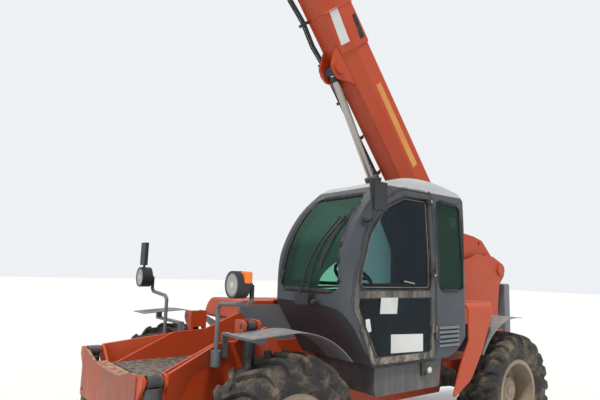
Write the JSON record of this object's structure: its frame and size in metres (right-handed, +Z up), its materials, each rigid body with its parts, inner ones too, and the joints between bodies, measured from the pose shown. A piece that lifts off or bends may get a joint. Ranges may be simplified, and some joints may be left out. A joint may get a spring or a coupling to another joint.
{
  "type": "telehandler",
  "caption": "Four-wheel telescopic handler with a side cab, raised boom, fork carriage, lift cylinder, front stabilisers and an engine pod.",
  "frame": {"origin": "on the ground at the middle of the whole machine, as it stands with the boom raised", "axes": "+X forward, +Y to the machine's left, +Z up"},
  "size_m": [6.398, 2.435, 5.7662],
  "materials": {
    "black_plastic": "matte",
    "cab_grey": "satin",
    "chrome": "polished",
    "dark_steel": "satin",
    "fender_grey": "matte",
    "glass": "clear",
    "orange_paint": "gloss",
    "rim_cream": "satin",
    "roof_pale": "satin",
    "seat_fabric": "woven",
    "tyre": "matte"
  },
  "bodies": {
    "chassis": {"frame_left": "orange_paint", "frame_right": "orange_paint", "frame_centre": "dark_steel", "boom_mount": "orange_paint", "counterweight": "orange_paint", "front_axle": "dark_steel", "rear_axle": "dark_steel", "stabiliser_box": "orange_paint", "cab_frame": "cab_grey", "cab_roof": "roof_pale", "cab_glass": "glass", "seat_base": "black_plastic", "controls": "black_plastic", "seat_pads": "seat_fabric", "side_panel": "orange_paint", "side_box": "fender_grey", "front_fenders": "fender_grey", "rear_fenders": "fender_grey", "engine_pod": "fender_grey", "engine_block": "dark_steel", "driveline": "dark_steel", "levelling_cylinders": "dark_steel", "lamps": "black_plastic", "mirrors": "black_plastic", "front_gussets": "orange_paint", "rear_tower": "fender_grey", "stabiliser_ears": "orange_paint", "levelling_brackets": "orange_paint", "lamp_lenses": "glass"},
    "knuckle_front_left": {"knuckle_front_left": "dark_steel"},
    "wheel_front_left": {"tyre_front_left": "tyre", "rim_front_left": "rim_cream"},
    "knuckle_front_right": {"knuckle_front_right": "dark_steel"},
    "wheel_front_right": {"tyre_front_right": "tyre", "rim_front_right": "rim_cream"},
    "knuckle_rear_left": {"knuckle_rear_left": "dark_steel"},
    "wheel_rear_left": {"tyre_rear_left": "tyre", "rim_rear_left": "rim_cream"},
    "knuckle_rear_right": {"knuckle_rear_right": "dark_steel"},
    "wheel_rear_right": {"tyre_rear_right": "tyre", "rim_rear_right": "rim_cream"},
    "boom": {"boom_outer": "orange_paint"},
    "boom_inner": {"boom_inner": "orange_paint"},
    "fork_carriage": {"carriage": "dark_steel", "forks": "dark_steel"},
    "lift_barrel": {"lift_barrel": "dark_steel"},
    "lift_rod": {"lift_rod": "chrome"},
    "tilt_barrel": {"tilt_barrel": "dark_steel"},
    "tilt_rod": {"tilt_rod": "chrome"},
    "stabiliser_leg_left": {"stabiliser_leg_left": "orange_paint"},
    "stabiliser_barrel_left": {"stabiliser_barrel_left": "dark_steel"},
    "stabiliser_rod_left": {"stabiliser_rod_left": "chrome"},
    "stabiliser_leg_right": {"stabiliser_leg_right": "orange_paint"},
    "stabiliser_barrel_right": {"stabiliser_barrel_right": "dark_steel"},
    "stabiliser_rod_right": {"stabiliser_rod_right": "chrome"},
    "cab_door": {"door_frame": "cab_grey", "door_glass": "glass"},
    "engine_hood": {"hood": "orange_paint"}
  },
  "joints": [
    {"name": "steer_front_left", "type": "hinge", "parent": "chassis", "child": "knuckle_front_left", "pos_m": [1.296, 0.7, 0.59], "axis": [0, 0, 1], "range_deg": [-35, 35]},
    {"name": "spin_front_left", "type": "hinge", "parent": "knuckle_front_left", "child": "wheel_front_left", "pos_m": [1.296, 0.98, 0.59], "axis": [0, 1, 0], "continuous": true},
    {"name": "steer_front_right", "type": "hinge", "parent": "chassis", "child": "knuckle_front_right", "pos_m": [1.296, -0.7, 0.59], "axis": [0, 0, 1], "range_deg": [-35, 35]},
    {"name": "spin_front_right", "type": "hinge", "parent": "knuckle_front_right", "child": "wheel_front_right", "pos_m": [1.296, -0.98, 0.59], "axis": [0, 1, 0], "continuous": true},
    {"name": "steer_rear_left", "type": "hinge", "parent": "chassis", "child": "knuckle_rear_left", "pos_m": [-1.554, 0.7, 0.59], "axis": [0, 0, 1], "range_deg": [-35, 35]},
    {"name": "spin_rear_left", "type": "hinge", "parent": "knuckle_rear_left", "child": "wheel_rear_left", "pos_m": [-1.554, 0.98, 0.59], "axis": [0, 1, 0], "continuous": true},
    {"name": "steer_rear_right", "type": "hinge", "parent": "chassis", "child": "knuckle_rear_right", "pos_m": [-1.554, -0.7, 0.59], "axis": [0, 0, 1], "range_deg": [-35, 35]},
    {"name": "spin_rear_right", "type": "hinge", "parent": "knuckle_rear_right", "child": "wheel_rear_right", "pos_m": [-1.554, -0.98, 0.59], "axis": [0, 1, 0], "continuous": true},
    {"name": "boom_lift", "type": "hinge", "parent": "chassis", "child": "boom", "pos_m": [-2.629, 0, 1.84], "axis": [0, -1, 0], "range_deg": [-52.7, 13.3]},
    {"name": "boom_extend", "type": "slide", "parent": "boom", "child": "boom_inner", "axis": [0.606, 0, 0.7955], "range_m": [0, 3.3]},
    {"name": "carriage_tilt", "type": "hinge", "parent": "boom_inner", "child": "fork_carriage", "pos_m": [1.79865, 0, 5.50687], "axis": [0, -1, 0], "range_deg": [-59, 71]},
    {"name": "lift_cylinder_swing", "type": "hinge", "parent": "boom", "child": "lift_rod", "pos_m": [0.06472, 0, 3.92384], "axis": [0, -1, 0], "range_deg": [-6.26, 2.33]},
    {"name": "lift_cylinder_stroke", "type": "slide", "parent": "lift_rod", "child": "lift_barrel", "axis": [-0.4906, 0, -0.8714], "range_m": [-1.07, 0.278]},
    {"name": "tilt_cylinder_swing", "type": "hinge", "parent": "boom_inner", "child": "tilt_barrel", "pos_m": [0.85853, 0, 5.49392], "axis": [0, -1, 0], "range_deg": [-2.26, 2.51]},
    {"name": "tilt_cylinder_stroke", "type": "slide", "parent": "tilt_barrel", "child": "tilt_rod", "axis": [0.9753, 0, 0.2209], "range_m": [-0.215, 0.18]},
    {"name": "stabiliser_left", "type": "hinge", "parent": "chassis", "child": "stabiliser_leg_left", "pos_m": [2.146, 0.26, 0.56], "axis": [-1, 0, 0], "range_deg": [0, 29.7]},
    {"name": "stabiliser_swing_left", "type": "hinge", "parent": "chassis", "child": "stabiliser_barrel_left", "pos_m": [2.146, 0.7, 1], "axis": [-1, 0, 0], "range_deg": [-1, 8.92]},
    {"name": "stabiliser_stroke_left", "type": "slide", "parent": "stabiliser_barrel_left", "child": "stabiliser_rod_left", "axis": [0, 0.0599, -0.9982], "range_m": [-0.005, 0.24]},
    {"name": "stabiliser_right", "type": "hinge", "parent": "chassis", "child": "stabiliser_leg_right", "pos_m": [2.146, -0.26, 0.56], "axis": [1, 0, 0], "range_deg": [0, 29.7]},
    {"name": "stabiliser_swing_right", "type": "hinge", "parent": "chassis", "child": "stabiliser_barrel_right", "pos_m": [2.146, -0.7, 1], "axis": [1, 0, 0], "range_deg": [-1, 8.92]},
    {"name": "stabiliser_stroke_right", "type": "slide", "parent": "stabiliser_barrel_right", "child": "stabiliser_rod_right", "axis": [0, -0.0599, -0.9982], "range_m": [-0.005, 0.24]},
    {"name": "door_swing", "type": "hinge", "parent": "chassis", "child": "cab_door", "pos_m": [-0.207, 1.162, 1.25], "axis": [0, 0, 1], "range_deg": [0, 95]},
    {"name": "hood_lift", "type": "hinge", "parent": "chassis", "child": "engine_hood", "pos_m": [-0.129, -0.43, 1.432], "axis": [-1, 0, 0], "range_deg": [0, 55]}
  ],
  "couplings": [
    {"joint": "steer_front_right", "follows": "steer_front_left", "ratio": 1},
    {"joint": "steer_rear_right", "follows": "steer_rear_left", "ratio": 1},
    {"joint": "lift_cylinder_swing", "follows": "boom_lift", "ratio": 0.09974},
    {"joint": "lift_cylinder_stroke", "follows": "boom_lift", "m_per_rad": 1.1525},
    {"joint": "tilt_cylinder_swing", "follows": "carriage_tilt", "ratio": 0.02131},
    {"joint": "tilt_cylinder_stroke", "follows": "carriage_tilt", "m_per_rad": -0.16512},
    {"joint": "stabiliser_swing_left", "follows": "stabiliser_left", "ratio": 0.26672},
    {"joint": "stabiliser_stroke_left", "follows": "stabiliser_left", "m_per_rad": 0.44334},
    {"joint": "stabiliser_swing_right", "follows": "stabiliser_right", "ratio": 0.26672},
    {"joint": "stabiliser_stroke_right", "follows": "stabiliser_right", "m_per_rad": 0.44334}
  ]
}
